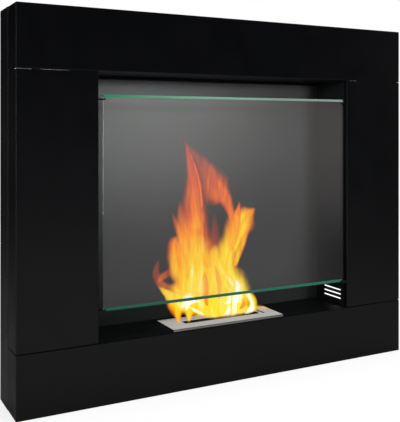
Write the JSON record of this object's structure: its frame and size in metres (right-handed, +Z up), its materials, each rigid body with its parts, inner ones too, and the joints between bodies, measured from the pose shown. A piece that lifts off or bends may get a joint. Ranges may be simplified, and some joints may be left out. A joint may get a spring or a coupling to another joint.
{
  "type": "bioethanol fireplace",
  "caption": "Wall-hung bioethanol fireplace: black folded-steel frame round an open firebox, floating glass pane and a stainless burner with a sliding damper.",
  "frame": {"origin": "middle of the frame's flat underside, halfway between the front face and the wall face", "axes": "+X along the front to the viewer's right, +Y from the front face to the wall behind, +Z up"},
  "size_m": [1.02, 0.145, 0.85],
  "materials": {
    "black_powder_coat": "satin",
    "firebox_black": "matt",
    "galvanised_steel": "satin",
    "zinc_plated_steel": "satin",
    "stainless_steel": "brushed",
    "clear_glass": "polished",
    "silicone": "matt",
    "ceramic_wool": "matt"
  },
  "bodies": {
    "case": {"casing_top": "black_powder_coat", "casing_bottom": "black_powder_coat", "casing_left_side": "black_powder_coat", "casing_right_side": "black_powder_coat", "casing_corner_brackets": "galvanised_steel", "top_bar": "black_powder_coat", "bottom_bar": "black_powder_coat", "left_column": "black_powder_coat", "right_column": "black_powder_coat", "panel_joint_clips": "zinc_plated_steel", "panel_screws": "zinc_plated_steel", "upper_hanging_rail": "galvanised_steel", "lower_rear_rail": "galvanised_steel", "rail_screws": "zinc_plated_steel", "heat_shield": "firebox_black", "shield_screws": "zinc_plated_steel", "shield_studs": "zinc_plated_steel", "shield_spacers": "zinc_plated_steel", "shield_nuts": "zinc_plated_steel", "firebox_left_wall": "firebox_black", "firebox_right_wall": "firebox_black", "firebox_back": "firebox_black", "firebox_floor": "firebox_black", "firebox_ceiling": "firebox_black", "firebox_screws": "zinc_plated_steel", "burner_well": "firebox_black", "burner_well_screws": "zinc_plated_steel", "upper_left_pane_lug": "black_powder_coat", "upper_right_pane_lug": "black_powder_coat", "lower_left_pane_cup": "black_powder_coat", "lower_right_pane_cup": "black_powder_coat", "upper_pane_liners": "silicone", "lower_pane_liners": "silicone", "pane_lug_screws": "zinc_plated_steel"},
    "pane": {"glass_pane": "clear_glass"},
    "burner": {"burner_top_plate": "stainless_steel", "burner_box": "stainless_steel", "damper_left_guide": "stainless_steel", "damper_right_guide": "stainless_steel", "ceramic_wool": "ceramic_wool", "wool_grid": "stainless_steel"},
    "damper": {"damper_plate": "stainless_steel", "damper_hook_tab": "stainless_steel"}
  },
  "joints": [
    {"name": "pane_lift", "type": "slide", "parent": "case", "child": "pane", "axis": [0, 0, 1], "range_m": [0, 0.04]},
    {"name": "burner_lift", "type": "slide", "parent": "case", "child": "burner", "axis": [0, 0, 1], "range_m": [0, 0.052]},
    {"name": "damper_slide", "type": "slide", "parent": "burner", "child": "damper", "axis": [0, -1, 0], "range_m": [0, 0.024]}
  ]
}
